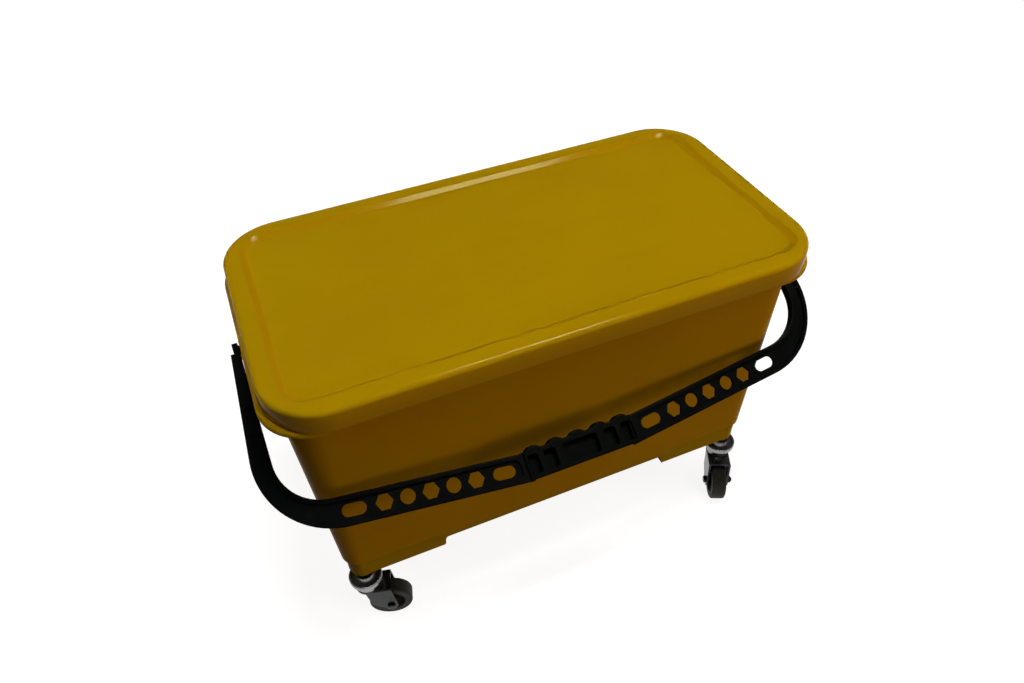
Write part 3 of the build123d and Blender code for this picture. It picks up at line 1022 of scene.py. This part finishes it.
LAMPS = (
    Lamp("top_panel", place=(0.2, -0.42, 3.42), sides=(0.9, 0.3), watts=61.0, reach=Reach.COLOUR),
    Lamp(
        "right_panel_shine",
        place=(0.86, -0.33, 3.36),
        sides=(0.85, 1.1),
        watts=1600.0,
        reach=Reach.SHINE,
        lit=Lit.PLASTICS,
        colour=SHEEN,
    ),
    Lamp("left_panel", place=(-2.4, 0.30, 3.42), sides=(0.9, 0.3), watts=9.0, reach=Reach.COLOUR),
    Lamp(
        "left_panel_shine",
        place=(-2.8, 0.45, 3.36),
        sides=(0.9, 0.9),
        watts=600.0,
        reach=Reach.SHINE,
        lit=Lit.PLASTICS,
        colour=SHEEN,
    ),
    Lamp("ceiling_glow", place=(0.7, -1.3, 3.3), sides=(1.4, 1.4), watts=24.0, reach=Reach.COLOUR),
    Lamp("cup_shine", place=(-0.2, -1.2, 3.0), sides=(2.2, 2.2), watts=50.0, reach=Reach.SHINE, lit=Lit.CUPS),
    Lamp(
        "front_glow",
        place=(1.7, -1.6, 0.75),
        sides=(1.2, 0.8),
        watts=22.0,
        reach=Reach.COLOUR,
        colour=AMBER,
        target=MIDDLE,
    ),
    Lamp(
        "back_glow",
        place=(-1.2, 2.0, 0.9),
        sides=(1.2, 0.8),
        watts=16.0,
        reach=Reach.COLOUR,
        colour=STRAW,
        target=MIDDLE,
    ),
)


@dataclass
class Studio:
    """The camera, lamps, floor and surroundings. Angles are in degrees, lens and sensor in millimetres."""

    eye: Triple = (-0.2141, -0.5408, 0.7938)
    tilt: float = 46.35
    roll: float = 1.94
    heading: float = -22.83
    lens: float = 27.77
    sensor_width: float = 36.0
    floor_size: float = 30.0
    floor_glow: float = 0.88
    floor_fade: Span = (0.6, 3.0)
    floor_shade: Colour = (0.26, 0.26, 0.26)
    floor_bounce: Colour = (0.19, 0.14, 0.045)
    fill: Colour = (0.060, 0.045, 0.035)
    ceiling_shade: float = 0.12
    backdrop_top: Span = (0.0, 0.22)

    def build(self) -> None:
        """Sets up the whole studio."""
        bpy.context.scene.view_settings.view_transform = "Standard"
        self._camera()
        self._world()
        self._floor()
        for lamp in LAMPS:
            lamp.build()

    def _camera(self) -> None:
        """Adds the camera at the photograph's place."""
        data = bpy.data.cameras.new("camera")
        data.lens = self.lens
        data.sensor_width = self.sensor_width
        camera = bpy.data.objects.new("camera", data)
        angles = Euler((radians(self.tilt), radians(self.roll), radians(self.heading)))
        camera.matrix_world = Matrix.LocRotScale(Vector(self.eye), angles, None)
        bpy.context.scene.collection.objects.link(camera)
        bpy.context.scene.camera = camera

    def _world(self) -> None:
        """Makes the surroundings: white where they are seen, darker overhead in mirrors, else a dim fill."""
        world = bpy.data.worlds.new("surroundings")
        bpy.context.scene.world = world
        board = Board(world)
        board.tree.nodes.clear()
        height = board.along(board.node("ShaderNodeTexCoord", output="Generated"), "Z")
        mirrored = 1 - height.rise(*self.backdrop_top) * (1 - self.ceiling_shade)
        strength = board.ray("Is Camera Ray").larger(mirrored)
        white = board.node("ShaderNodeBackground", {}, {"Color": WHITE, "Strength": strength})
        dim = board.node("ShaderNodeBackground", {}, {"Color": self.fill})
        surface = board.node("ShaderNodeMixShader", {}, {0: board.seen(), 1: dim, 2: white})
        board.close("ShaderNodeOutputWorld", surface)

    def _floor(self) -> None:
        """Adds a pale floor that keeps the object's shadow and throws a warm light back."""
        shape = bmesh.new()
        bmesh.ops.create_grid(shape, x_segments=1, y_segments=1, size=self.floor_size / 2)
        data = bpy.data.meshes.new("floor")
        shape.to_mesh(data)
        shape.free()
        floor = bpy.data.objects.new("floor", data)
        bpy.context.scene.collection.objects.link(floor)
        data.materials.append(self._floor_material())

    def _floor_material(self) -> bpy.types.Material:
        """Makes the floor's finish, which glows to white away from the object.

        Returns:
            The material.
        """
        material = bpy.data.materials.new("floor_white")
        board = Board(material)
        board.tree.nodes.clear()
        distance = board.node("ShaderNodeVectorMath", {"operation": "LENGTH"}, {0: board.place()}, "Value")
        near, far = self.floor_fade
        inputs = {"Value": distance, 1: near, 2: far, 3: self.floor_glow, 4: 1.0}
        strength = board.node("ShaderNodeMapRange", {}, inputs)
        glow = board.node("ShaderNodeEmission", {}, {"Strength": strength})
        shaded = board.node("ShaderNodeBsdfDiffuse", {}, {"Color": self.floor_shade})
        visible = board.node("ShaderNodeAddShader", {}, {0: shaded, 1: glow})
        bounce = board.node("ShaderNodeBsdfDiffuse", {}, {"Color": self.floor_bounce})
        surface = board.node("ShaderNodeMixShader", {}, {0: board.seen(), 1: bounce, 2: visible})
        board.close("ShaderNodeOutputMaterial", surface)
        return material


def main() -> None:
    """Builds every sub-assembly and the studio."""
    logging.basicConfig(level=logging.INFO, format="%(message)s")
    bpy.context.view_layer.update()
    shop = Workshop()
    Lid().build(shop)
    Tub().build(shop)
    Bail().build(shop)
    for corner in Corner:
        Caster(corner).build(shop)
    Studio().build()


if __name__ == "__main__":
    main()
